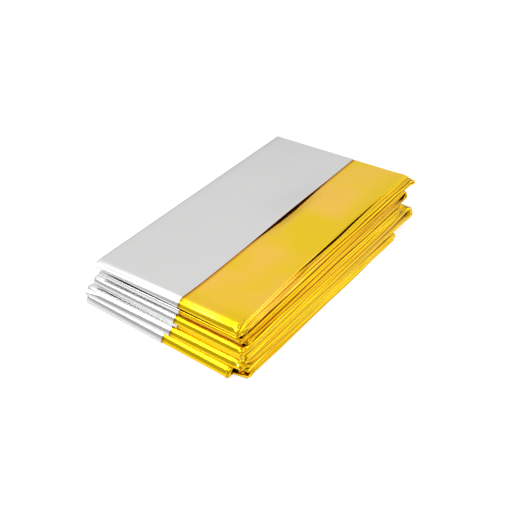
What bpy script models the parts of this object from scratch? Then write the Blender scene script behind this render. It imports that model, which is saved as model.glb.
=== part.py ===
"""Emergency foil blanket, folded flat to pocket size.

One metallised film, 1.6 by 2.1 m.  It is folded to a band of about eight layers, 0.2 m wide,
the band is folded in three lengthwise to a strip, and the strip is laid back and forth in
fourteen panels.  The whole blanket is one body: a loft of strip sections that runs along each
panel and round each bend, down the stack, with its layers a little apart.  The strip's right
side is one round fold, its left side a round fold over the band's edge, and one of its two
faces carries the band's other edge, a little past the middle.

+Y is the long way, +Z is up, and the origin is the middle of the footprint, on the floor.
Panels and bends are counted from the top, and the first bend looks along -Y.
"""

import math
from typing import NamedTuple

import bmesh
import bpy
import numpy as np

MM = 0.001
COLLECTION = "emergency_foil_blanket"
NODE = "foil_blanket"

# Driving dimensions, in millimetres.
LAP_MIDDLE = 48.3    # from the left side to the band's lapped edge, just behind the front bends
LAP_BACK = 46.7      # the same at the back bends
LAP_FLARE = 12       # how soon the edge swings out to its place on a front bend (a power)
LAP_STEP = 0.3       # height of the lapped edge
FOLD_OUT = 0.5       # how far the round of a long fold stands out from the strip's side
GROOVE_IN = 0.6      # depth of the groove over the band's edge at the left
CORNER_IN = 0.5      # how far the strip's corners are drawn in
BEND_SPANS = 8       # spans round a bend
STATIONS = (0.0, 0.012, 0.05, 0.16, 0.45, 0.95, 0.988, 1.0)    # parts of a panel, front to back
HOLLOW_RUN = 0.05        # part of a panel over which the hollow of a bend closes


class Panel(NamedTuple):
    """One panel; four corners are (front left, front right, back left, back right)."""
    thick: tuple     # thickness at the four corners
    gap: tuple       # air under the panel at the four corners
    left: tuple      # x of the left side at the front and back
    right: tuple     # x of the right side at the front and back


class Bend(NamedTuple):
    """The turn from one panel into the next one down; pairs are (left, right)."""
    nose: tuple      # y of the outermost line
    reach: tuple     # length of the rounded stretch
    side: tuple      # x of the two ends, all the way round
    hollow: tuple    # height of the air inside the bend
    lap: float       # from the left end to the lapped film edge


PANELS = (
    Panel((1.0, 2.0, 1.5, 1.6), (0.3, 0.3, 0.3, 0.3), (-42.0, -42.1), (34.8, 34.8)),
    Panel((1.0, 2.0, 1.3, 1.2), (0.3, 0.3, 0.3, 0.3), (-41.4, -41.6), (38.3, 38.0)),
    Panel((1.0, 1.1, 1.0, 1.0), (0.3, 0.3, 0.3, 0.3), (-40.0, -41.2), (38.9, 38.5)),
    Panel((1.0, 1.1, 1.4, 2.3), (1.4, 0.3, 0.3, 0.3), (-39.6, -41.4), (38.7, 38.4)),
    Panel((1.0, 1.1, 1.6, 2.7), (0.3, 0.3, 0.3, 0.3), (-38.6, -40.6), (39.8, 39.0)),
    Panel((1.0, 1.1, 1.0, 1.3), (0.3, 0.3, 0.3, 0.3), (-39.2, -41.0), (39.3, 38.7)),
    Panel((1.4, 2.1, 1.1, 1.5), (0.3, 0.3, 0.3, 0.3), (-43.2, -42.0), (40.0, 39.2)),
    Panel((1.4, 2.1, 1.0, 1.0), (0.3, 0.3, 0.3, 0.3), (-43.2, -42.4), (39.6, 39.4)),
    Panel((1.0, 2.1, 1.0, 1.0), (0.3, 0.3, 0.3, 0.5), (-42.2, -42.2), (40.2, 39.6)),
    Panel((1.0, 2.2, 1.7, 2.9), (0.3, 0.3, 0.3, 0.3), (-42.6, -43.0), (39.7, 39.9)),
    Panel((1.8, 2.1, 3.0, 4.9), (0.3, 0.3, 0.3, 0.3), (-45.8, -44.0), (39.6, 40.2)),
    Panel((1.8, 2.1, 1.4, 1.3), (0.3, 0.3, 0.3, 0.3), (-45.6, -43.6), (40.4, 40.3)),
    Panel((2.3, 2.3, 1.3, 1.2), (0.3, 0.3, 0.3, 0.3), (-46.0, -43.0), (39.9, 40.0)),
    Panel((2.4, 2.3, 2.1, 1.6), (0.0, 0.0, 0.0, 0.0), (-45.6, -42.6), (40.2, 40.3)),
)

BENDS = (
    Bend((-73.6, -75.2), (4.0, 4.0), (-42.0, 38.0), (0.5, 0.6), 47.7),
    Bend((74.6, 76.4), (1.6, 1.8), (-41.4, 39.0), (0.3, 0.3), 46.7),
    Bend((-72.4, -72.8), (1.3, 1.6), (-40.2, 38.6), (0.3, 0.3), 46.0),
    Bend((71.0, 69.6), (2.4, 3.4), (-41.2, 38.7), (1.2, 3.0), 46.7),
    Bend((-70.6, -72.4), (1.2, 1.8), (-38.4, 39.4), (0.3, 0.3), 42.6),
    Bend((67.0, 65.0), (1.4, 1.6), (-41.0, 38.8), (0.3, 0.3), 46.7),
    Bend((-73.2, -75.5), (2.0, 2.6), (-43.5, 39.5), (0.3, 0.3), 46.5),
    Bend((65.4, 62.6), (1.4, 1.6), (-42.2, 39.0), (0.3, 0.3), 46.7),
    Bend((-72.4, -73.6), (1.3, 1.8), (-42.4, 40.0), (0.3, 0.3), 46.1),
    Bend((75.5, 77.6), (3.4, 5.6), (-43.4, 40.4), (1.0, 2.4), 46.7),
    Bend((-75.8, -74.8), (2.8, 3.2), (-46.4, 38.6), (0.5, 0.6), 47.4),
    Bend((61.0, 59.5), (1.6, 1.8), (-43.2, 40.2), (0.3, 0.3), 46.7),
    Bend((-75.2, -76.6), (3.2, 3.6), (-46.8, 33.4), (1.4, 2.6), 44.2),
)

TOP_END = (73.3, 73.7)       # y of the strip's end on the top panel, left and right
BOTTOM_END = (60.0, 58.0)    # y of the strip's end on the bottom panel, left and right

FILM_GOLD = (0.83, 0.55, 0.07, 1.0)
FILM_METALLIC = 0.9
FILM_ROUGHNESS = 0.25

FRONT, BACK = slice(0, 2), slice(2, 4)    # corner columns
LAPPED, PLAIN = 0, 1                      # the strip's two faces
LAST = len(PANELS) - 1


def blend(start, end, part):
    """Straight-line blend of two values or arrays: start at part 0, end at part 1."""
    return np.asarray(start) * (1.0 - part) + np.asarray(end) * part


def stack_heights():
    """Top and bottom height of every panel at its four corners, stacked up from the floor."""
    tops = np.zeros((len(PANELS), 4))
    bottoms = np.zeros((len(PANELS), 4))
    height = np.zeros(4)
    for index in range(LAST, -1, -1):
        bottoms[index] = height + PANELS[index].gap
        tops[index] = bottoms[index] + PANELS[index].thick
        height = tops[index]
    return tops, bottoms


def bend_start(index):
    """y where the flat ends and bend `index` begins, left and right: the nose less the reach."""
    toward_middle = 1.0 if index % 2 == 0 else -1.0
    return np.array(BENDS[index].nose) + toward_middle * np.array(BENDS[index].reach)


def inside_bend(index, tops, bottoms):
    """Heights of the two inner faces of a bend, high and low, each left and right."""
    corners = FRONT if index % 2 == 0 else BACK
    middle = (bottoms[index, corners] + tops[index + 1, corners]) / 2
    half = np.array(BENDS[index].hollow) / 2
    return middle + half, middle - half


def panel_ends(index):
    """y of a panel's flat stretch at the front and at the back, each left and right."""
    front_bend, back_bend = (index, index - 1) if index % 2 == 0 else (index - 1, index)
    front = bend_start(front_bend)
    if index == 0:
        return front, np.array(TOP_END)
    if index == LAST:
        return front, np.array(BOTTOM_END)
    return front, bend_start(back_bend)


def lap_distance(front_lap, toward_back):
    """Left side to lapped edge: a slow drift along the panel, then a swing to the front bend."""
    drift = blend(LAP_MIDDLE, LAP_BACK, toward_back)
    return blend(drift, front_lap, (1.0 - toward_back) ** LAP_FLARE)


def section_loop(rails, lap, step):
    """Closed loop of points round the strip at one station.

    rails[face, side] are the four corner points of the section.  A point of the loop is a
    distance from the left side and a depth from the lapped face (0) to the plain face (1),
    and its position is the two-way blend of the four corners.
    """
    width = np.linalg.norm(rails[LAPPED, 1] - rails[LAPPED, 0]) / MM
    thick = np.linalg.norm(rails[PLAIN].mean(axis=0) - rails[LAPPED].mean(axis=0)) / MM
    low = min(step / thick, 0.3)
    loop = (
        (width - CORNER_IN, low),
        (lap + LAP_STEP, low),
        (lap, 0.0),
        (lap / 2, 0.0),
        (CORNER_IN, 0.0),
        (-FOLD_OUT, 0.3),
        (GROOVE_IN, 0.62),
        (0.0, 0.8),
        (CORNER_IN, 1.0),
        (width * 0.35, 1.0),
        (width * 0.7, 1.0),
        (width - CORNER_IN, 1.0),
        (width + FOLD_OUT * 0.75, 0.8),
        (width + FOLD_OUT, 0.55),
        (width + FOLD_OUT * 0.75, 0.3),
    )
    points = []
    for across, depth in loop:
        on_lapped = blend(rails[LAPPED, 0], rails[LAPPED, 1], across / width)
        on_plain = blend(rails[PLAIN, 0], rails[PLAIN, 1], across / width)
        points.append(blend(on_lapped, on_plain, depth))
    return points


def panel_outline(index, toward_back, tops, bottoms):
    """x of a panel's two sides, and its top and bottom heights there.

    Toward a bend the face that meets it goes over to the bend's inner face, and at the bend
    itself the sides are the bend's own.
    """
    panel = PANELS[index]
    sides = blend((panel.left[0], panel.right[0]), (panel.left[1], panel.right[1]), toward_back)
    top = blend(tops[index, FRONT], tops[index, BACK], toward_back)
    bottom = blend(bottoms[index, FRONT], bottoms[index, BACK], toward_back)
    front_bend, back_bend = (index, index - 1) if index % 2 == 0 else (index - 1, index)
    for bend, distance in ((front_bend, toward_back), (back_bend, 1.0 - toward_back)):
        if bend not in range(len(BENDS)) or distance > HOLLOW_RUN:
            continue
        high, low = inside_bend(bend, tops, bottoms)
        opened = 1.0 - distance / HOLLOW_RUN
        if bend == index:
            bottom = blend(bottom, high, opened)
        else:
            top = blend(top, low, opened)
        if distance == 0.0:
            sides = np.array(BENDS[bend].side)
    return sides, top, bottom


def panel_sections(index, tops, bottoms):
    """Sections along one panel, in the order in which the strip runs down the stack."""
    front_y, back_y = panel_ends(index)
    front_bend = index if index % 2 == 0 else index - 1
    step = 0.0 if index == LAST else LAP_STEP
    sections = []
    for toward_back in STATIONS[::-1] if index % 2 == 0 else STATIONS:
        sides_x, top, bottom = panel_outline(index, toward_back, tops, bottoms)
        sides_y = blend(front_y, back_y, toward_back)
        faces = (top, bottom) if index % 2 == 0 else (bottom, top)
        rails = np.array([np.column_stack((sides_x, sides_y, z)) for z in faces]) * MM
        lap = lap_distance(BENDS[front_bend].lap, toward_back)
        sections.append(section_loop(rails, lap, step))
    return sections


def bend_sections(index, tops, bottoms):
    """Sections round one bend, without its two ends, which belong to the panels.

    The outside and the inside of the bend are half ellipses over the same stretch: the outer
    one is as high as both panels and as long as the reach, and the inner one is the round of
    the hollow between them.
    """
    bend = BENDS[index]
    front = index % 2 == 0
    corners, outward = (FRONT, -1.0) if front else (BACK, 1.0)
    start_y = bend_start(index)
    inner_high, inner_low = inside_bend(index, tops, bottoms)
    outer = (tops[index, corners], bottoms[index + 1, corners], np.array(bend.reach))
    inner = (inner_high, inner_low, (inner_high - inner_low) / 2)
    lap = lap_distance(bend.lap, 0.0 if front else 1.0)
    sections = []
    for station in range(1, BEND_SPANS):
        part = station / BEND_SPANS
        angle = math.pi * part
        rails = []
        for high, low, reach in (outer, inner) if front else (inner, outer):
            z = (high + low) / 2 + (high - low) / 2 * math.cos(angle)
            y = start_y + outward * reach * math.sin(angle)
            rails.append(np.column_stack((bend.side, y, z)))
        step = LAP_STEP * (1.0 - part) if index == LAST - 1 else LAP_STEP
        sections.append(section_loop(np.array(rails) * MM, lap, step))
    return sections


def loft(sections):
    """Closed mesh through equal loops of points: quads between loops and a face on each end."""
    mesh = bmesh.new()
    rings = [[mesh.verts.new(point) for point in section] for section in sections]
    count = len(rings[0])
    for ring, following in zip(rings, rings[1:]):
        for corner in range(count):
            beside = (corner + 1) % count
            mesh.faces.new((ring[corner], ring[beside], following[beside], following[corner]))
    mesh.faces.new(rings[0][::-1])
    mesh.faces.new(rings[-1])
    bmesh.ops.recalc_face_normals(mesh, faces=mesh.faces)
    bmesh.ops.triangulate(mesh, faces=mesh.faces)
    return mesh


def center_on_floor(mesh):
    """Moves the mesh so that its box stands on z = 0 with its middle on the Z axis."""
    points = np.array([vert.co for vert in mesh.verts])
    low, high = points.min(axis=0), points.max(axis=0)
    shift = np.array(((low[0] + high[0]) / 2, (low[1] + high[1]) / 2, low[2]))
    bmesh.ops.translate(mesh, verts=mesh.verts, vec=-shift)


def film_material():
    """The metallised film, gold side out."""
    material = bpy.data.materials.new("foil_film")
    material.use_nodes = True
    shader = material.node_tree.nodes["Principled BSDF"]
    shader.inputs["Base Color"].default_value = FILM_GOLD
    shader.inputs["Metallic"].default_value = FILM_METALLIC
    shader.inputs["Roughness"].default_value = FILM_ROUGHNESS
    return material


def build_blanket(collection):
    """The folded blanket, one closed body."""
    tops, bottoms = stack_heights()
    sections = []
    for index in range(len(PANELS)):
        sections += panel_sections(index, tops, bottoms)
        if index < LAST:
            sections += bend_sections(index, tops, bottoms)
    solid = loft(sections)
    center_on_floor(solid)
    mesh = bpy.data.meshes.new(NODE)
    solid.to_mesh(mesh)
    solid.free()
    mesh.materials.append(film_material())
    blanket = bpy.data.objects.new(NODE, mesh)
    collection.objects.link(blanket)
    return blanket


def clear_scene():
    """Removes every object of the open scene."""
    for existing in list(bpy.context.scene.objects):
        bpy.data.objects.remove(existing, do_unlink=True)


def main():
    clear_scene()
    collection = bpy.data.collections.new(COLLECTION)
    bpy.context.scene.collection.children.link(collection)
    build_blanket(collection)


main()
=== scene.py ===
# %% [markdown]
# # A folded emergency foil blanket
#
# A rescue blanket is one sheet of very thin plastic film with a metal coat, silver on one face and gold
# on the other.  To fit a pocket it is gathered to a band of about eight layers, folded in three
# lengthwise, and laid back and forth.  This lesson makes that folded band as one continuous sheet, worked
# out with numpy, and then gives its two faces their metal finishes.

# %% The frame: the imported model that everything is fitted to
import math

import bpy
import numpy as np
from mathutils import Matrix, Vector


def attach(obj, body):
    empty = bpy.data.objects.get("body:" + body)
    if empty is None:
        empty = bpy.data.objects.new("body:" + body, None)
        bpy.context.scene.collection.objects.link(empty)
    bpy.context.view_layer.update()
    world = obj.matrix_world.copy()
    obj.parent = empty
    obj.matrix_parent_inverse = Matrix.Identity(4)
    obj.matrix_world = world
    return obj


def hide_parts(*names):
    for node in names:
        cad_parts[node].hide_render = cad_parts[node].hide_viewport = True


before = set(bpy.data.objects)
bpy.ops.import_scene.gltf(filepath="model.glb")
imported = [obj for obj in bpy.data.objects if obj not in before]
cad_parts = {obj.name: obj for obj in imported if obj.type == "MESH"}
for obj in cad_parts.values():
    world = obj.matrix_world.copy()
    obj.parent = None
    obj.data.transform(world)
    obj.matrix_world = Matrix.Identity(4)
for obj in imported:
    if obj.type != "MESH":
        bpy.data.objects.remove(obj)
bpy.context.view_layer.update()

MM = 0.001

# %% [markdown]
# ## The camera
#
# A product picture is taken from above one corner, with a fairly long lens so that the long sides hardly
# converge.  The camera is given as a point in space, a compass direction, a downward angle and a small roll,
# put together as three turns.

# %% The camera
LENS = 70.31                          # mm, on a 36 mm sensor
CAMERA_PLACE = (0.20876, -0.33393, 0.28926)
CAMERA_AZIMUTH, CAMERA_DOWN, CAMERA_ROLL = 32.24, 36.0, 3.79    # degrees


def place_camera():
    """Camera matrix = move to its place, turn by azimuth about Z, tip up from straight down, then roll."""
    data = bpy.data.cameras.new("camera")
    data.lens = LENS
    camera = bpy.data.objects.new("camera", data)
    bpy.context.scene.collection.objects.link(camera)
    turn = Matrix.Rotation(math.radians(CAMERA_AZIMUTH), 4, "Z")
    tip = Matrix.Rotation(math.radians(90 - CAMERA_DOWN), 4, "X")
    roll = Matrix.Rotation(math.radians(CAMERA_ROLL), 4, "Z")
    camera.matrix_world = Matrix.Translation(Vector(CAMERA_PLACE)) @ turn @ tip @ roll
    bpy.context.scene.camera = camera
    return camera


camera = place_camera()
print("camera", [round(value, 3) for value in camera.matrix_world.translation])

# %% [markdown]
# ## The fold plan
#
# The strip is laid in fourteen panels, joined by thirteen bends.  One row for each panel gives its
# thickness and the air under it at its four corners, and the places of its two long sides at the front and
# the back.  One row for each bend gives where its outermost line lies, how far it rounds, the places of its
# sides, the width of its hollow, how far from the left its lapped edge is, and how late the panels' sides
# swing to meet it.  All sizes are in millimetres, and heights are counted up from the table.
#
# The folding could be simulated as cloth, but so many close layers tangle or spring apart.  Tables keep each
# layer where it lies, and one number moves one fold.

# %% Panels and bends
# thick and gap under it, each (front left, front right, back left, back right)
# left x and right x, each (front, back)
PANELS = (
    ((1.0, 2.4, 1.5, 1.6), (0.3, 0.3, 0.3, 0.3), (-42.0, -42.1), (37.3, 34.8)),
    ((1.0, 2.4, 1.3, 1.2), (2.6, 0.6, 0.3, 0.3), (-41.4, -41.6), (38.3, 38.0)),
    ((0.6, 1.2, 1.0, 1.0), (0.3, 0.3, 0.3, 0.3), (-40.0, -41.2), (38.9, 38.5)),
    ((0.6, 1.1, 1.4, 2.3), (1.3, 0.3, 0.3, 0.3), (-39.6, -41.4), (38.7, 38.4)),
    ((0.5, 0.8, 1.6, 2.7), (0.3, 0.3, 0.3, 0.3), (-38.6, -40.6), (39.8, 39.0)),
    ((0.5, 1.0, 1.0, 1.3), (0.3, 0.3, 0.3, 0.3), (-39.2, -41.0), (39.3, 38.7)),
    ((1.4, 2.1, 1.1, 1.5), (0.3, 0.3, 0.3, 0.3), (-43.2, -42.0), (40.0, 39.2)),
    ((1.4, 2.1, 1.0, 1.0), (0.3, 0.3, 0.3, 0.3), (-43.2, -42.4), (39.6, 39.4)),
    ((0.55, 1.7, 1.0, 1.0), (0.3, 0.3, 0.3, 0.5), (-42.2, -42.2), (40.2, 39.6)),
    ((0.55, 1.8, 1.7, 2.9), (0.8, 0.3, 0.3, 0.3), (-42.6, -43.0), (39.7, 39.9)),
    ((1.8, 2.1, 3.0, 4.9), (0.3, 0.3, 0.3, 0.3), (-45.8, -44.0), (39.6, 40.2)),
    ((1.8, 2.1, 1.4, 1.3), (0.3, 0.3, 0.3, 0.3), (-45.6, -43.6), (40.4, 40.3)),
    ((2.3, 2.3, 1.3, 1.2), (0.3, 0.3, 0.3, 0.3), (-46.0, -43.0), (39.9, 40.0)),
    ((2.4, 2.3, 2.1, 1.6), (0.0, 0.0, 0.0, 0.0), (-45.6, -42.6), (40.2, 40.3)),
)
# nose y, reach, side x, hollow, each (left, right); lapped edge; lateness of its sides
BENDS = (
    ((-73.6, -76.8), (4.2, 4.2), (-42.0, 37.5), (0.5, 0.6), 47.7, 2),
    ((74.6, 76.4), (1.6, 1.8), (-41.4, 39.0), (0.3, 0.3), 46.7, 12),
    ((-73.0, -76.0), (0.8, 0.9), (-40.2, 38.6), (0.3, 0.3), 46.0, 3),
    ((71.0, 69.6), (2.4, 3.4), (-41.2, 38.7), (1.2, 3.2), 46.7, 3),
    ((-70.6, -72.4), (1.3, 2.0), (-38.4, 39.4), (0.3, 0.3), 42.6, 3),
    ((67.0, 65.0), (1.4, 1.6), (-41.0, 38.8), (0.3, 0.3), 46.7, 3),
    ((-73.2, -76.0), (2.4, 3.4), (-43.5, 39.5), (0.3, 0.3), 46.5, 4),
    ((65.4, 62.6), (1.4, 1.6), (-42.2, 39.0), (0.3, 0.3), 46.7, 3),
    ((-72.4, -73.8), (1.3, 1.6), (-42.4, 40.0), (0.3, 0.3), 46.1, 3),
    ((75.5, 77.6), (3.4, 5.6), (-43.4, 40.4), (1.0, 2.4), 46.7, 12),
    ((-75.8, -74.8), (3.2, 3.6), (-46.4, 38.6), (0.5, 0.6), 47.4, 8),
    ((61.0, 59.5), (1.6, 1.8), (-43.2, 40.2), (0.3, 0.3), 46.7, 3),
    ((-75.2, -76.8), (3.6, 4.0), (-46.8, 33.4), (1.4, 3.0), 44.2, 20),
)
TOP_END = (73.3, 73.7)       # y of the strip's end on the top panel, left and right
BOTTOM_END = (60.0, 58.0)
CENTER = (-3.2, 0.57)         # middle of the footprint in the plan's x and y

thick, gap = (np.array([row[column] for row in PANELS]) for column in (0, 1))
left_x, right_x = (np.array([row[column] for row in PANELS]) for column in (2, 3))
nose_y, reach, bend_x, hollow = (np.array([row[column] for row in BENDS]) for column in range(4))
bend_lap, lateness = (np.array([row[column] for row in BENDS]) for column in (4, 5))
LAST = len(PANELS) - 1

tops = (thick + gap)[::-1].cumsum(axis=0)[::-1]
bottoms = tops - thick
print(LAST + 1, "panels,", len(BENDS), "bends, stack heights at the corners", tops[0].round(1))

# %% [markdown]
# ## Rails along the strip
#
# The strip has four long corner lines, or rails: its lapped face and its plain face, each at the left and
# the right.  Every point of the folded film lies between them, so once the rails are known down the whole
# stack, a section of the strip can be carried along them in one step.
#
# A panel's rails run straight.  Round a bend, the outer pair follows one common nose, as high as both
# panels: a table says how far it has tilted after each share of the way, so it can hold a flat place
# before it turns under.  The inner pair is the small half ellipse of the gap between the panels.

# %% Stations, and helpers for both kinds of stretch
END_PARTS = np.array((0.0, 0.012, 0.025, 0.045, 0.075, 0.12, 0.18))    # stations near a panel's ends
MIDDLE_PARTS = (0.25, 0.75)          # where the stations between them begin and end
TOP_MIDDLE, MIDDLE = 15, 5           # how many there are, on the top panel and on the others
BEND_STATIONS = 14
BEND_PARTS = np.linspace(0.0, 1.0, BEND_STATIONS + 2)[1:-1]
NOSE_STEPS = 401
NOSE_TILTS = (                       # share of the way round, degrees down from level
    (0.0, 0), (0.12, 22), (0.45, 50), (0.51, 61), (0.74, 66), (0.84, 90), (1.0, 178),
)
LAP_MIDDLE, LAP_BACK, LAP_FLARE = 48.6, 46.9, 12
SIDE_FLARE = 3                       # the sides swing to their front places late, toward the front
HOLLOW_RUN = 0.05                    # part of a panel over which a bend's hollow closes


def mix(start, end, part):
    """start + (end - start) * part, for whole arrays."""
    return start + (end - start) * part


def bend_start(index):
    """y where a bend begins, left and right: its nose less its reach."""
    return nose_y[index] + (reach[index] if index % 2 == 0 else -reach[index])


def lap_distance(front_lap, back):
    """Lapped edge from the left: a slow drift, LAP_MIDDLE to LAP_BACK, then a late swing at the front."""
    return mix(mix(LAP_MIDDLE, LAP_BACK, back), front_lap, (1.0 - back) ** LAP_FLARE)


def inside_bend(index):
    """Heights of a bend's two inner faces: the middle of the gap it closes, plus and minus half a hollow."""
    corners = slice(0, 2) if index % 2 == 0 else slice(2, 4)
    middle = (bottoms[index, corners] + tops[index + 1, corners]) / 2
    return middle + hollow[index] / 2, middle - hollow[index] / 2


# %% A panel's rails, and a bend's
def nose_profile():
    """The nose at each bend part: forward = sum of cos(tilt), height = -sum of sin(tilt), then scaled."""
    way = np.linspace(0.0, 1.0, NOSE_STEPS)
    shares, degrees = zip(*NOSE_TILTS)
    tilt = np.radians(np.interp(way, shares, degrees))
    forward, drop = np.cumsum(np.cos(tilt)), np.cumsum(np.sin(tilt))
    height = 1.0 - 2.0 * drop / drop[-1]
    return np.interp(BEND_PARTS, way, forward / forward.max()), np.interp(BEND_PARTS, way, height)


def panel_rails(index):
    """Rails of a panel: mix(front, back, share); near a bend the faces open and the sides swing to it.

    Gives arrays of (station, face, side, xyz) in strip order, the lapped edge, the share toward the back and
    the level, which is the panel's number and goes half way to the next one's round a bend.
    """
    even = index % 2 == 0
    middle = np.linspace(*MIDDLE_PARTS, MIDDLE if index else TOP_MIDDLE)
    panel_parts = np.concatenate((END_PARTS, middle, 1.0 - END_PARTS[::-1]))
    front_bend, back_bend = (index, index - 1) if even else (index - 1, index)
    front_y = bend_start(front_bend)
    back_y = {0: np.array(TOP_END), LAST: np.array(BOTTOM_END)}.get(index)
    back_y = bend_start(back_bend) if back_y is None else back_y
    back = (panel_parts[::-1] if even else panel_parts)[:, None]
    ends_x = np.array((left_x[index], right_x[index]))
    x = mix(ends_x[:, 1], ends_x[:, 0], (1.0 - back) ** SIDE_FLARE)
    y = mix(front_y, back_y, back)
    heights = [mix(rows[index, :2], rows[index, 2:], back) for rows in (tops, bottoms)]
    fold_level = np.full(len(back), float(index))
    for bend, distance in ((front_bend, back), (back_bend, 1.0 - back)):
        if 0 <= bend < len(BENDS):
            lower = 1 if bend == index else 0
            opened = np.clip(1.0 - distance / HOLLOW_RUN, 0.0, 1.0)
            heights[lower] = mix(heights[lower], inside_bend(bend)[1 - lower], opened)
            turned = opened ** lateness[bend]
            x = mix(x, bend_x[bend], turned)
            fold_level += (lower - 0.5) * turned[:, 0]
    faces = heights if even else heights[::-1]
    rails = np.stack([np.stack((x, y, z), axis=-1) for z in faces], axis=1)
    return rails, lap_distance(bend_lap[front_bend], back[:, 0]), back[:, 0], fold_level


def bend_rails(index):
    """Rails round a bend: y = start + length * out, z = middle + half the height * (1 to -1 on the way).

    The outer pair follows the nose's profile; the inner pair is half an ellipse, with sin and cos.
    """
    front = index % 2 == 0
    corners = slice(0, 2) if front else slice(2, 4)
    angle = BEND_PARTS * math.pi
    inner_high, inner_low = inside_bend(index)
    nose_out, nose_height = nose_profile()
    pairs = [
        (tops[index, corners], bottoms[index + 1, corners], reach[index], nose_out, nose_height),
        (inner_high, inner_low, (inner_high - inner_low) / 2, np.sin(angle), np.cos(angle)),
    ]
    faces = []
    for high, low, length, out, height in pairs if front else pairs[::-1]:
        z = (high + low) / 2 + (high - low) / 2 * height[:, None]
        y = bend_start(index) + (-1.0 if front else 1.0) * length * out[:, None]
        faces.append(np.stack((np.broadcast_to(bend_x[index], y.shape), y, z), axis=-1))
    end = np.full(len(BEND_PARTS), 0.0 if front else 1.0)
    same = np.ones(len(BEND_PARTS))
    return np.stack(faces, axis=1), same * lap_distance(bend_lap[index], end[0]), end, same * (index + 0.5)


# %% All the rails, from the top panel's end to the bottom one's
stretches = []
for index in range(LAST + 1):
    stretches.append(panel_rails(index))
    if index < LAST:
        stretches.append(bend_rails(index))
rails, lap, toward_back, level = (np.concatenate([row[part] for row in stretches]) for part in range(4))
print(len(rails), "stations along the strip")

# %% [markdown]
# ## The section: a band folded in three
#
# Looked at end on, the band starts at its lapped edge in the middle of the lapped face, runs left with its
# silver side out, turns under at the left, comes back to the right with its gold side up, turns under there
# and ends near the left again.  Each point of that section is a distance from the left side and a depth
# below the lapped face, both in millimetres, worked out for all the stations together.
#
# A drawn curve could be swept along the strip, but this section changes all the way along it.  With arrays,
# its widths, cuts and dents are worked out anew at each station.

# %% The parts of the section
FILM_HALF = 0.05             # half the thickness of the band of eight films
ROUND_OUT = 0.4              # how far the long folds stand out from the rails
PLY_END = 1.4                # the last ply stops short of the left fold
UPPER, LEFT_TURN, RIDGE_TURN, LAST_PLY = 16, 8, 9, 16     # points in each part
UNDER = (11, 6, 12)          # points of the under ply before, at and after the lapped edge
AT_LAP = (2.5, 6.0)          # how far left and right of the lapped edge its middle points lie
EDGE_CROWD, TURN_CROWD = 1.3, 2.0    # how closely points crowd toward where a ply begins, and its right fold
LIFT_REACH, DIP_REACH = 9.0, 3.2     # how far the lapped edge's lift and the dip under it reach
RISE_RUN = 4.0               # the under ply rises from the left fold over this length
STEP_SWING = 0.3             # power of the sine with which a ridge steps out
TURN_RADIUS = 0.6            # how far in the right fold starts to turn

width = np.linalg.norm(rails[:, 0, 1] - rails[:, 0, 0], axis=-1)[:, None]
depth = np.linalg.norm(rails[:, 1].mean(axis=1) - rails[:, 0].mean(axis=1), axis=-1)[:, None]
lap_at = lap[:, None]
along_y = rails[:, :, :, 1].mean(axis=(1, 2))[:, None] - CENTER[1]
level_at = level[:, None]


def eased(count, power=1.0):
    """count numbers from 0 to 1, closer together toward 0 for a power above 1."""
    return (np.linspace(0.0, 1.0, count) ** power)[None, :]


def bell(away, reach_here):
    """exp(-(away / reach)^2): 1 at the middle, nearly 0 at twice the reach."""
    return np.exp(-((away / reach_here) ** 2))


def upper_ply(left_radius, lift):
    """From the lapped edge straight to the left fold; depth = half the film - lift * bell at the edge."""
    across = mix(lap_at, left_radius, eased(UPPER + 1, EDGE_CROWD)[:, :-1])
    return across, FILM_HALF - lift * bell(lap_at - across, LIFT_REACH)


def left_turn(radius, low):
    """Half ellipse: across = radius - (radius + out) * sin, depth from the face down to low."""
    turn = eased(LEFT_TURN + 1)[:, :-1] * math.pi
    across = radius - (radius + ROUND_OUT) * np.sin(turn)
    return across, mix(FILM_HALF, low, (1.0 - np.cos(turn)) / 2)


def under_ply(left_radius, low, high, rim, rim_run, dip):
    """From the left fold to the right one, under the upper ply.

    Depth goes from low to high as exp(-way / RISE_RUN), plus dip * bell at the lapped edge, and then to rim
    as exp(-way left / rim_run).
    """
    before, after = lap_at - AT_LAP[0], lap_at + AT_LAP[1]
    first = mix(left_radius, before, eased(UNDER[0] + 1)[:, :-1])
    second = mix(before, after, eased(UNDER[1] + 1)[:, :-1])
    third = mix(after, width - TURN_RADIUS, 1.0 - eased(UNDER[2] + 1, TURN_CROWD)[:, :0:-1])
    across = np.concatenate((first, second, third), axis=1)
    below = mix(high, low, np.exp(-(across - left_radius) / RISE_RUN))
    below = below + dip * bell(across - lap_at, DIP_REACH)
    return across, mix(below, rim, np.exp(-(width - TURN_RADIUS - across) / rim_run))


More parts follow.
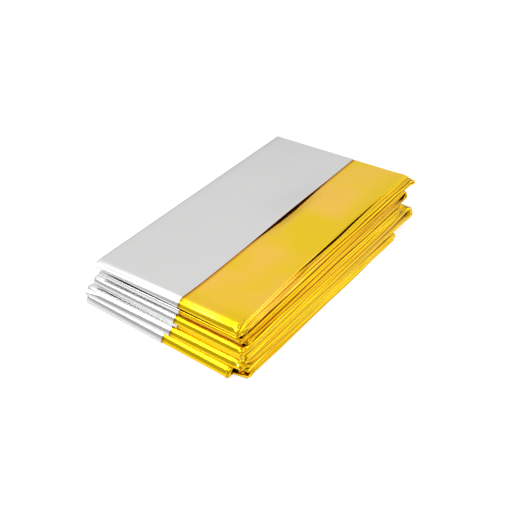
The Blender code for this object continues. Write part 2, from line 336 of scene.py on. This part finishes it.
def right_turn(high, low, cuts, gape, sag, dents, steps, bluntness):
    """One round fold with two V-shaped lines in it: out = radius * sin^bluntness(pi * part) - dent + step.

    Part is the share of the way from high to low.  A V is as deep as its dent and closes by 1 - sin to either
    side.  The first one also stands open by gape, a share of the height, and its floor sags toward its
    bottom by sag * (1 - sin).  The steps put the three ridges further out, each by sin^STEP_SWING.
    """
    zero = np.zeros_like(width)
    starts = (zero, cuts[0] + gape, cuts[1])
    ends = (cuts[0], cuts[1], zero + 1.0)
    depths = (zero, dents[0], dents[1], zero)
    rows = []
    for ridge in range(3):
        turn = eased(RIDGE_TURN + 1)[:, :-1] * math.pi
        part = mix(starts[ridge], ends[ridge], (1.0 - np.cos(turn)) / 2)
        if ridge == 1:
            part = part + sag * np.where(turn < math.pi / 2, 1.0 - np.sin(turn), 0.0)
        dent = mix(depths[ridge], depths[ridge + 1], turn / math.pi) * (1.0 - np.sin(turn))
        before = steps[ridge - 1] if ridge else 0.0
        held = mix(before, steps[ridge], np.sin(np.minimum(turn, math.pi / 2)) ** STEP_SWING)
        out = (TURN_RADIUS + ROUND_OUT) * np.sin(math.pi * part) ** bluntness - dent + held
        rows.append((width - TURN_RADIUS + out, mix(high, low, part)))
    return [np.concatenate([row[which] for row in rows], axis=1) for which in (0, 1)]


def last_ply(low, start):
    """Straight along the plain face from the right fold to the band's other edge."""
    across = mix(start, PLY_END, eased(LAST_PLY, EDGE_CROWD))
    return across, np.broadcast_to(low, across.shape)


# %% [markdown]
# The fourteen right folds aren't all alike: a table gives each one's two cuts, how deep they are, how far
# its three ridges step out and how blunt it is.  The top panel has its own marks.  Its lapped edge has come a
# little loose past its middle, so that a dark slit shows under it.  Its right fold has parted into two, with
# a long gap between them, and a pocket opens in it near the front.  Such marks could be sculpted by hand;
# as numbers in the section they stay sharp, and each can be moved by itself.

# %% The right folds and the top panel's marks
# first cut, second cut (shares of the fold's height), first dent, second dent, steps out (mm), bluntness
FOLDS = (
    (0.17, 0.60, 0.10, 0.30, (0.0, 1.1, 3.0), 0.35),
    (0.40, 0.72, 0.35, 0.00, (0.0, 0.3, 0.2), 0.6),
    (0.50, 0.80, 0.00, 0.00, (0.0, 0.1, 0.0), 0.6),
    (0.50, 0.80, 0.00, 0.00, (0.4, 0.4, 0.3), 0.7),
    (0.45, 0.75, 0.35, 0.00, (0.1, 0.2, 0.1), 0.6),
    (0.50, 0.80, 0.00, 0.00, (0.0, 0.0, 0.0), 0.6),
    (0.50, 0.80, 0.00, 0.00, (0.2, 0.2, 0.1), 0.7),
    (0.42, 0.80, 0.00, 0.00, (0.0, 0.1, 0.1), 0.6),
    (0.50, 0.80, 0.30, 0.00, (0.0, 0.2, 0.0), 0.6),
    (0.50, 0.80, 0.00, 0.00, (0.2, 0.2, 0.2), 0.7),
    (0.45, 0.75, 0.45, 0.00, (0.0, 0.3, 0.2), 0.5),
    (0.50, 0.80, 0.00, 0.00, (0.0, 0.0, 0.0), 0.6),
    (0.50, 0.80, 0.30, 0.00, (0.1, 0.3, 0.2), 0.7),
    (0.50, 0.80, 0.00, 0.00, (0.1, 0.1, 0.1), 0.6),
)
SLIT = (12.0, 42.0, 42.0)                     # middle, and reach toward the front and the back
SLIT_LIFT, SLIT_DIP = 0.45, 0.6
PARTING, PARTING_DEPTH = (2.0, 45.0, 66.0), 4.5
PARTING_GAPE, PARTING_SAG = 0.36, 0.30        # shares of the fold's height
POCKET, POCKET_DEPTH = (-66.0, 8.0, 14.0), 1.2
STEPS_LOST = 0.6                              # share of the top fold's steps that closes toward the front
CUT_FOLLOWS = 0.6                             # share of the gape by which the second cut moves down
DRIFTS = ((0.05, 17.0, 2.1), (0.03, 6.3, 5.0))     # share of the height, mm along, turn from level to level
FULL_DEPTH, DENT_LIMITS = 2.0, (0.3, 1.6)     # depth at which a dent is as given; its least and most share


def hump(middle, front, back):
    """cos^2 along the packet: 1 at the middle, falling to 0 over the front and the back reach."""
    reach_here = np.where(along_y < middle, front, back)
    share = np.clip(np.abs(along_y - middle) / reach_here, 0.0, 1.0)
    return np.cos(share * math.pi / 2) ** 2


def along_strip(values):
    """A value for each panel, at every station: a straight line from level to level."""
    return np.interp(level, np.arange(LAST + 1), values)[:, None]


on_top = np.clip(1.0 - 2.0 * level_at, 0.0, 1.0)
cut_one, cut_two, dent_one, dent_two = (along_strip([row[column] for row in FOLDS]) for column in range(4))
held_in = 1.0 - STEPS_LOST * on_top * (1.0 - toward_back[:, None]) ** SIDE_FLARE
steps = [held_in * along_strip([row[4][ridge] for row in FOLDS]) for ridge in range(3)]
bluntness = along_strip([row[5] for row in FOLDS])
drift = sum(size * np.sin(along_y / length + turn * level_at) for size, length, turn in DRIFTS)
drift = drift * (1.0 - on_top)
dent_share = np.clip(depth / FULL_DEPTH, *DENT_LIMITS)
slit, parting, pocket = (on_top * hump(*mark) for mark in (SLIT, PARTING, POCKET))
gape = PARTING_GAPE * parting
cuts = (cut_one + drift, cut_two + drift + CUT_FOLLOWS * gape)
dents = (
    dent_one * dent_share + PARTING_DEPTH * np.sqrt(parting),
    dent_two * dent_share + POCKET_DEPTH * pocket,
)
print("deepest dents in mm:", [round(float(dent.max()), 2) for dent in dents])

# %% The strip's section at every station
LAP_DROP = 0.3               # mm from the upper ply down to the one under it
LAP_DROP_SHARE = 0.3         # and its most share of the depth
LEFT_RADIUS = 1.0            # mm, the left fold's largest
RIM_RUN, RIM_RUN_TOP = 0.9, 5.0      # mm over which the under ply rises to the right rim; more on top
TURN_FILL = 0.13             # below the top, the right folds swell a little past the strip's faces

high = np.minimum(LAP_DROP, depth * LAP_DROP_SHARE)
low = depth - FILM_HALF
left_low = np.maximum(depth / 2, high)
left_radius = np.minimum(left_low / 2, LEFT_RADIUS)
fill = TURN_FILL * (1.0 - on_top)
parts = [
    upper_ply(left_radius, SLIT_LIFT * slit),
    left_turn(left_radius, left_low),
    under_ply(left_radius, left_low, high, FILM_HALF, RIM_RUN + RIM_RUN_TOP * on_top, SLIT_DIP * slit),
    right_turn(FILM_HALF - fill, low + fill, cuts, gape, PARTING_SAG * parting, dents, steps, bluntness),
    last_ply(low, width - TURN_RADIUS + steps[2]),
]
section_across, section_depth = [np.concatenate([part[which] for part in parts], axis=1) for which in (0, 1)]
print(section_across.shape[1], "points across the band, widths", width.min().round(1), width.max().round(1))

# %% [markdown]
# Where two folds touch, and in the folds' creases, light bounces from gold to gold and comes out as a deeper
# orange.  A painted shade for every point says how much: it is strong on the touching lines of the right
# side, comes and goes in between, follows the lapped edge as the shadow under it, and lies faintly on the
# ledges between the bends and on the panels whose bends stand back in shade.
#
# A render's own bounces between two such close sheets give too little of it, so the shade is painted: it is
# kept with the mesh as an attribute, which the gold finish reads as a deeper orange.

# %% The painted shade
# The painted shade's strengths: on the side's touching lines and streaks, in the shadow beside the lapped
# edge, on the shaded ledges between the bends, and on the panels that stand back in shade.
SIDE_FROM, SIDE_FADE = 0.2, 0.5          # mm: the side begins this far left of the right turn, and fades in
LINE_SHARE, LINE_SHADE = 0.20, 0.80       # share of the fold's height that a touching line takes
TOP_LINE_SHIFT = 0.5                     # takes the upper line off the top panel, where nothing touches
STREAKS, STREAK_SHADE = (6.0, 2.3, 19.0), 0.45          # turn down the fold, turn for each level, mm along
LAP_BELL, LAP_SHADE = (0.25, 0.5), 1.0    # mm: how far right of the lapped edge it is, and its reach
LAP_BELOW = 0.12                         # mm: it lies on the under ply, deeper than this
LEDGE_FADE, LEDGE_SHADE = 0.02, 0.3       # share of the panel's length over which it fades in
RECESS, RECESS_SHADE = (1.2, 1.8, 5.2, 5.8), 0.45       # levels of the panels that stand back at the front
RECESS_SIDE = 0.5                        # share of it that the side loses


def paint_shade(across, below):
    """Painted shade = side * (line + streak) + lap + ledge + recess, each times its strength, kept from 0 to
    1.

    With d the share of the depth: line = 1 - (d or 1 - d, the less) / LINE_SHARE; streak = the upper half of
    sin(6 d + 2.3 level + y / 19); lap = a bell beside the lapped edge; ledge = what is neither side, top
    panel nor front bend; recess = 1 on the levels that stand back, less on their sides.
    """
    side = np.clip((across - (width - TURN_RADIUS - SIDE_FROM)) / SIDE_FADE, 0.0, 1.0)
    d = np.clip(below / depth, 0.0, 1.0)
    line = np.clip(1.0 - np.minimum(d + TOP_LINE_SHIFT * on_top, 1.0 - d) / LINE_SHARE, 0.0, 1.0)
    down, turn, length = STREAKS
    streak = np.clip(np.sin(down * d + turn * level_at + along_y / length), 0.0, 1.0)
    beside_lap = bell(across - lap_at - LAP_BELL[0], LAP_BELL[1]) * (below > LAP_BELOW)
    ledge = (1.0 - side) * (1.0 - on_top) * np.clip(toward_back / LEDGE_FADE, 0.0, 1.0)[:, None]
    recess = (1.0 - RECESS_SIDE * side) * np.interp(level, RECESS, (0.0, 1.0, 1.0, 0.0))[:, None]
    total = side * (LINE_SHADE * line + STREAK_SHADE * streak) + LAP_SHADE * beside_lap + LEDGE_SHADE * ledge
    return np.clip(total + RECESS_SHADE * recess, 0.0, 1.0)


# Painted shade for every point: a deeper orange in creases, in recesses and in the lapped edge's shadow.
painted_shade = paint_shade(section_across, section_depth)
print("mean tone", painted_shade.mean().round(3))

# %% [markdown]
# ## From section to surface
#
# A point of the section is a two-way blend of the four rails: by its share of the width and by its share of
# the depth.  With the blend written once for whole arrays, the folded band is a single expression.

# %% The surface
def carry(across, below):
    """(1-d) * ((1-a) lapped left + a lapped right) + d * ((1-a) plain left + a plain right)."""
    a = (across / width)[..., None]
    d = (below / depth)[..., None]
    lapped = mix(rails[:, None, 0, 0], rails[:, None, 0, 1], a)
    plain = mix(rails[:, None, 1, 0], rails[:, None, 1, 1], a)
    return mix(lapped, plain, d) - np.array((*CENTER, 0.0))


# %% [markdown]
# The packet's corners are crushed.  Each crushed place is a small cloud of sharp waves, in three directions,
# that fades away from its middle; and the right side wavers a little.  A push depends only on the place, so
# neighbouring layers go together and none goes through the next.  Near the floor nothing is pushed up or
# down, and the film never sinks into it.
#
# Noise could do this too, but its dents are round.  The peaks of a triangle wave are sharp, as in film.

# %% Crushed corners
CRUSHES = (    # x, y and z in the plan, reach, size, all in mm
    (37.4, -72.6, 26.6, 3.4, 0.65),
    (38.6, -71.6, 21.6, 3.0, 0.55),
    (39.2, -73.6, 17.4, 2.6, 0.40),
    (38.6, -74.0, 9.0, 3.6, 0.65),
    (39.6, -71.5, 4.0, 4.0, 0.60),
    (-45.2, -75.0, 7.6, 3.0, 0.40),
    (-41.5, -73.4, 22.6, 2.6, 0.22),
    (38.6, 70.0, 22.5, 3.6, 0.25),
    (39.6, 64.5, 17.5, 4.0, 0.25),
    (39.8, 75.5, 12.0, 4.0, 0.28),
)
WAVES = (    # direction that a wave runs in, its length in mm, the way it pushes
    ((0.80, 0.15, 0.60), 2.7, (0.20, -0.90, 0.30)),
    ((0.30, -0.70, 0.65), 3.4, (0.70, -0.20, 0.50)),
    ((-0.55, 0.40, 0.75), 2.1, (0.50, 0.60, -0.20)),
)
WAVERS = ((0.16, 9.0, 0.9), (0.08, 3.7, 1.7))     # how far the side wavers, mm along, turn for each mm up
WAVER_FROM, WAVER_FADE = 30.0, 8.0       # x in the plan where the wavering begins, and its way to full size
FLOOR_FADE = 3.0             # mm over the floor in which up and down pushes grow to full size
CLEAR = 0.03                 # the film's least height over the floor


def crumpled(points):
    """points + sum of size * exp(-(distance / reach)^2) * triangle wave * push, and slow waverings in x.

    The triangle wave is arcsin(sin(2 pi * way / length + x)) * 2 / pi, and a wavering is
    size * sin(y / length + z * turn).
    """
    plan = points + np.array((*CENTER, 0.0))
    total = np.zeros_like(points)
    for x, y, z, reach_here, size in CRUSHES:
        away = plan - np.array((x, y, z))
        fade = size * np.exp(-np.sum(away**2, axis=-1) / reach_here**2)
        for direction, length, push in WAVES:
            wave = np.arcsin(np.sin(away @ np.array(direction) * 2 * math.pi / length + x)) * 2 / math.pi
            total += (fade * wave)[..., None] * np.array(push)
    side = np.clip((plan[..., 0] - WAVER_FROM) / WAVER_FADE, 0.0, 1.0)
    for size, length, turn in WAVERS:
        total[..., 0] += size * side * np.sin(plan[..., 1] / length + plan[..., 2] * turn)
    total[..., 2] *= np.clip(plan[..., 2] / FLOOR_FADE, 0.0, 1.0)
    return points + total


band = crumpled(carry(section_across, section_depth))
band[..., 2] = np.maximum(band[..., 2], FILM_HALF + CLEAR)
print("band", band.shape, "lowest", band.min(axis=(0, 1)).round(2), "highest", band.max(axis=(0, 1)).round(2))

# %% [markdown]
# ## Two faces, one sheet
#
# The band gets its thickness along its own normals, found from the grid's two directions.  The silver face
# and the gold face are separate grids, joined by a narrow rim, so that each can carry its own finish.  A
# Solidify modifier would do as well, with a material offset; written out, it shows how a shell is made.

# %% Normals and the closed sheet
SHARP_ANGLE = 60             # degrees between faces, past which an edge isn't shaded smooth
TINY = 1e-9                  # keeps a normal of no length from being divided by 0


def grid_normals(points):
    """Unit cross product of the grid's differences across and along."""
    along = np.gradient(points, axis=0)
    across = np.gradient(points, axis=1)
    normals = np.cross(across, along)
    return normals / np.maximum(np.linalg.norm(normals, axis=-1, keepdims=True), TINY)


def grid_faces(rows, columns, start, flip):
    """Quads of a rows x columns grid whose first vertex is start."""
    number = np.arange(rows * columns).reshape(rows, columns) + start
    quads = np.stack((number[:-1, :-1], number[1:, :-1], number[1:, 1:], number[:-1, 1:]), axis=-1)
    return (quads[..., ::-1] if flip else quads).reshape(-1, 4)


def rim_faces(rows, columns):
    """Quads between the two grids along their common border."""
    number = np.arange(rows * columns).reshape(rows, columns)
    border = np.concatenate((number[0, :-1], number[:-1, -1], number[-1, :0:-1], number[:0:-1, 0]))
    beside = np.roll(border, -1)
    second = rows * columns
    return np.stack((border, beside, beside + second, border + second), axis=-1)


def film_mesh(name, middle, painted_shade):
    """The closed sheet: middle + normal * half the film for silver, minus it for gold, and the rim.

    The rim is gold, and the painted shade goes with the points of both grids.
    """
    normals = grid_normals(middle)
    rows, columns = middle.shape[:2]
    points = np.concatenate([(middle + side * normals * FILM_HALF).reshape(-1, 3) for side in (1, -1)])
    count = rows * columns
    silver = grid_faces(rows, columns, 0, flip=False)
    gold = grid_faces(rows, columns, count, flip=True)
    rim = rim_faces(rows, columns)
    faces = np.concatenate((silver, gold, rim))
    mesh = bpy.data.meshes.new(name)
    mesh.vertices.add(len(points))
    mesh.vertices.foreach_set("co", (points * MM).ravel())
    mesh.loops.add(faces.size)
    mesh.loops.foreach_set("vertex_index", faces.ravel())
    mesh.polygons.add(len(faces))
    mesh.polygons.foreach_set("loop_start", np.arange(len(faces)) * 4)
    which = np.concatenate((np.zeros(len(silver)), np.ones(len(gold)), np.ones(len(rim)))).astype(int)
    mesh.polygons.foreach_set("material_index", which)
    mesh.update(calc_edges=True)
    mesh.validate()
    # The painted shade goes with the points of both grids.
    mesh.attributes.new("painted_shade", "FLOAT", "POINT").data.foreach_set("value", np.tile(painted_shade.ravel(), 2))
    mesh.polygons.foreach_set("use_smooth", np.ones(len(faces), dtype=bool))
    mesh.set_sharp_from_angle(angle=math.radians(SHARP_ANGLE))
    film = bpy.data.objects.new(name, mesh)
    bpy.context.scene.collection.objects.link(film)
    print(name, len(points), "points", 2 * len(faces), "triangles")
    return film


film = film_mesh("foil_film", band, painted_shade)

# %% [markdown]
# ## The finishes
#
# Metallised film is a near mirror: its look is nearly all reflection.  Each face is a metal with its own
# colour and a low roughness, with faint waves in it so that reflections wander as they do on real film.
# The waves are a bump, because they are too shallow to be worth a finer mesh.  The nodes could be wired one
# by one; a small class lets the shader's maths be written as ordinary expressions, which are easier to read.

# %% A socket that does arithmetic
class Value:
    """A node socket with + - * in both orders, each adding a Math node."""

    def __init__(self, tree, socket):
        self.tree, self.socket = tree, socket

    def _math(self, operation, first, second):
        node = self.tree.nodes.new("ShaderNodeMath")
        node.operation = operation
        for slot_number, value in enumerate((first, second)):
            if isinstance(value, Value):
                self.tree.links.new(value.socket, node.inputs[slot_number])
            else:
                node.inputs[slot_number].default_value = value
        return Value(self.tree, node.outputs[0])

    def __add__(self, other):
        return self._math("ADD", self, other)

    def __radd__(self, other):
        return self._math("ADD", other, self)

    def __sub__(self, other):
        return self._math("SUBTRACT", self, other)

    def __rsub__(self, other):
        return self._math("SUBTRACT", other, self)

    def __mul__(self, other):
        return self._math("MULTIPLY", self, other)

    def __rmul__(self, other):
        return self._math("MULTIPLY", other, self)

    def at_most(self, other):
        """The lesser of the two."""
        return self._math("MINIMUM", self, other)


# %% Node trees, and materials
class Nodes:
    """A node tree, with one method that adds any node."""

    def __init__(self, tree):
        self.tree = tree

    def node(self, kind, output=0, settings=None, stops=None, easing="LINEAR", **sockets):
        """Adds a node: settings first, then a ramp's stops, then values or links of its sockets."""
        node = self.tree.nodes.new("ShaderNode" + kind)
        for name, value in (settings or {}).items():
            setattr(node, name, value)
        if stops:
            ramp = node.color_ramp
            ramp.interpolation = easing
            while len(ramp.elements) < len(stops):
                ramp.elements.new(0.5)
            for element, (place, color) in zip(ramp.elements, stops):
                element.position, element.color = place, color
        for name, value in sockets.items():
            self.feed(node.inputs[name.replace("_", " ")], value)
        return Value(self.tree, node.outputs[output])

    def feed(self, socket, value):
        """Links or sets one socket."""
        if isinstance(value, Value):
            self.tree.links.new(value.socket, socket)
        else:
            socket.default_value = value


class Finish(Nodes):
    """A material's node tree, with one Principled shader."""

    def __init__(self, name):
        self.material = bpy.data.materials.new(name)
        self.material.use_nodes = True
        super().__init__(self.material.node_tree)
        self.shader = self.tree.nodes["Principled BSDF"]

    def set(self, **sockets):
        """Sets or links the shader's own sockets."""
        for name, value in sockets.items():
            self.feed(self.shader.inputs[name.replace("_", " ")], value)


# %% What both faces share
OBJECT_PLACE = 3             # the output of Texture Coordinate that gives a point's own place, in metres
WAVE_SCALE, CRINKLE_SCALE = 45.0, 420.0      # noise cells in a metre
CRINKLE_SHARE = 0.02         # height of the fine crinkle against the waves'
BUMP_STRENGTH, BUMP_HEIGHT = 0.12, 0.001     # how much of it shows, and metres for a height of 1
GLOSS_SWING = 0.10           # how far the roughness follows the clouds


def film_bump(finish, place):
    """Soft waves some centimetres long, plus a small share of a fine crinkle, as one height."""
    wave = finish.node("TexNoise", Vector=place, Scale=WAVE_SCALE, Detail=1.0, Roughness=0.4)
    crinkle = finish.node("TexNoise", Vector=place, Scale=CRINKLE_SCALE, Detail=2.0, Roughness=0.5)
    height = wave + crinkle * CRINKLE_SHARE
    return finish.node("Bump", Height=height, Strength=BUMP_STRENGTH, Distance=BUMP_HEIGHT)


# %% The silver face
SILVER = (0.70, 0.70, 0.695, 1.0)
SILVER_ROUGH = 0.16


def silver_finish():
    """Nearly even, with faint cloudy changes in gloss: roughness = cloud * GLOSS_SWING + SILVER_ROUGH."""
    finish = Finish("silver_face")
    place = finish.node("TexCoord", output=OBJECT_PLACE)
    cloud = finish.node("TexNoise", Vector=place, Scale=28.0, Detail=3.0)
    finish.set(Base_Color=SILVER, Metallic=1.0, Roughness=cloud * GLOSS_SWING + SILVER_ROUGH)
    finish.set(Normal=film_bump(finish, place))
    return finish.material


film.data.materials.append(silver_finish())
print("silver in slot", len(film.data.materials) - 1)

# %% [markdown]
# The gold isn't one yellow.  The top shows paler, warmer patches that run into each other, a little weaker
# toward the front, and the folds below it stay a clear yellow.  A noise, faded by height and by the way
# along, picks between the two, and the painted shade of each point then mixes in a deep orange, which stands
# in for light bounced between the folds.  A painted picture would need a flat layout of the folded sheet;
# nodes that read the place need none.

# %% The gold face
GOLD_YELLOW = (0.87, 0.59, 0.008, 1.0)
GOLD_WARM = (0.94, 0.57, 0.070, 1.0)
# Painted shade: the deep orange that light bounced between the gold folds gives.
GOLD_SHADE_PAINT = (0.52, 0.22, 0.000, 1.0)
GOLD_ROUGH = 0.14
CLOUD_SHIFT = (0.0087, 0.0157, 0.0)      # metres: puts the warm patches where they are on the top
UPPER_FROM, UPPER_TO = 0.022, 0.027      # heights in metres between which the patches come up
INNER_FROM, INNER_TO, FRONT_SHARE = -0.070, -0.035, 0.85      # y in metres, and what is left at the front
YELLOW_UP_TO, WARM_FROM = 0.40, 0.60     # of the clouds


def gold_finish():
    """Base colour = mix(mix(yellow, warm, cloud * upper * inner), deep, painted shade), rough as the silver
    is.
    """
    finish = Finish("gold_face")
    place = finish.node("TexCoord", output=OBJECT_PLACE)
    shifted = finish.node("Mapping", Vector=place, Location=CLOUD_SHIFT)
    cloud = finish.node("TexNoise", Vector=shifted, Scale=30.0, Detail=2.0, Roughness=0.45)
    along, height = (finish.node("SeparateXYZ", output=axis, Vector=place) for axis in (1, 2))
    upper = finish.node("MapRange", Value=height, From_Min=UPPER_FROM, From_Max=UPPER_TO)
    inner = finish.node("MapRange", Value=along, From_Min=INNER_FROM, From_Max=INNER_TO, To_Min=FRONT_SHARE)
    stops = ((YELLOW_UP_TO, GOLD_YELLOW), (WARM_FROM, GOLD_WARM))
    patches = finish.node("ValToRGB", Fac=cloud * upper * inner, stops=stops)
    # The painted shade, read from the mesh, mixes in the deep orange.
    painted_shade = finish.node("Attribute", output=2, settings={"attribute_name": "painted_shade"})
    with_painted_shade = finish.node("MixRGB", Fac=painted_shade, Color1=patches, Color2=GOLD_SHADE_PAINT)
    finish.set(Base_Color=with_painted_shade, Metallic=1.0, Roughness=cloud * GLOSS_SWING + GOLD_ROUGH)
    finish.set(Normal=film_bump(finish, place))
    return finish.material


film.data.materials.append(gold_finish())
print("gold in slot", len(film.data.materials) - 1)

# %% [markdown]
# ## Floor and light
#
# A pale table, a pale room and large soft lamps: a metal shows its surroundings, so what is bright and what
# is grey round it is chosen with care.  The table glows by itself, so that it stays white round the packet
# with only a faint shadow, and its own colour is dark, so that the lamps don't burn it out.

# %% The floor
FLOOR_SIZE = 3.0                         # metres
FLOOR_GREY, FLOOR_ROUGH, FLOOR_GLOW = (0.2, 0.2, 0.2, 1.0), 0.9, 0.82


def add_floor():
    """A wide square at height 0: corners = plus and minus half its size."""
    half = FLOOR_SIZE / 2
    corners = [(-half, -half, 0), (half, -half, 0), (half, half, 0), (-half, half, 0)]
    mesh = bpy.data.meshes.new("floor")
    mesh.from_pydata(corners, [], [(0, 1, 2, 3)])
    floor = bpy.data.objects.new("floor", mesh)
    bpy.context.scene.collection.objects.link(floor)
    finish = Finish("floor_white")
    finish.set(Base_Color=FLOOR_GREY, Roughness=FLOOR_ROUGH)
    finish.set(Emission_Color=(1.0, 1.0, 1.0, 1.0), Emission_Strength=FLOOR_GLOW)
    mesh.materials.append(finish.material)
    return floor


add_floor()
print("floor", FLOOR_SIZE, "m wide")

# %% [markdown]
# The lamps are few and soft.  One in front on the left lights the bends, and a weak one behind on the right
# keeps the far side from going dull.  The room does the rest: seen from the camera, the packet's top mirrors
# the far wall half way up, and its front bends mirror the wall in front of them.  A picture of a real studio
# could do as well; a ramp from dim to bright keeps every grey in reach.

# %% Lamps and room
LAMPS = (    # name, place, width in metres, power in watts
    ("front_lamp", (-0.60, -1.00, 1.10), 0.7, 12.0),
    ("right_lamp", (0.94, 1.09, 0.9), 0.7, 2.0),
)
CEILING = 1.9                            # brightness of the room overhead
ROOM = (                                 # sine of the height angle, share of CEILING
    (0.0, 0.26), (0.34, 0.32), (0.44, 0.50), (0.66, 0.50), (0.84, 1.0),
)
FRONT_WALL = 0.16                        # how much higher its dim part reaches straight in front


def add_lamp(name, place, size, power):
    """A square soft lamp that looks from its place at the middle of the packet's footprint."""
    data = bpy.data.lights.new(name, "AREA")
    data.shape = "SQUARE"
    data.size = size
    data.energy = power
    lamp = bpy.data.objects.new(name, data)
    look = (-Vector(place)).to_track_quat("-Z", "Y")
    lamp.matrix_world = Matrix.Translation(Vector(place)) @ look.to_matrix().to_4x4()
    bpy.context.scene.collection.objects.link(lamp)
    return lamp


def light_room():
    """Walls that are dim at the floor and pale above, the dim part higher in front, and a bright ceiling.

    Brightness = CEILING * ramp(z + FRONT_WALL * (y or 0, the less)), for the direction (x, y, z) looked in.
    """
    world = bpy.data.worlds.new("room")
    world.use_nodes = True
    room = Nodes(world.node_tree)
    looked = room.node("TexCoord")
    y, z = (room.node("SeparateXYZ", output=axis, Vector=looked) for axis in (1, 2))
    stops = [(height, (share, share, share, 1.0)) for height, share in ROOM]
    walls = room.node("ValToRGB", Fac=y.at_most(0.0) * FRONT_WALL + z, stops=stops, easing="EASE")
    background = world.node_tree.nodes["Background"]
    room.feed(background.inputs["Color"], walls)
    room.feed(background.inputs["Strength"], CEILING)
    bpy.context.scene.world = world


light_room()
for name, place, size, power in LAMPS:
    add_lamp(name, place, size, power)
bpy.context.scene.view_settings.view_transform = "Standard"
print(len(LAMPS), "lamps, ceiling", CEILING)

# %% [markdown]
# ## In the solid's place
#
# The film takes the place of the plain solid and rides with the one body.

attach(film, "root")
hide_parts("foil_blanket")
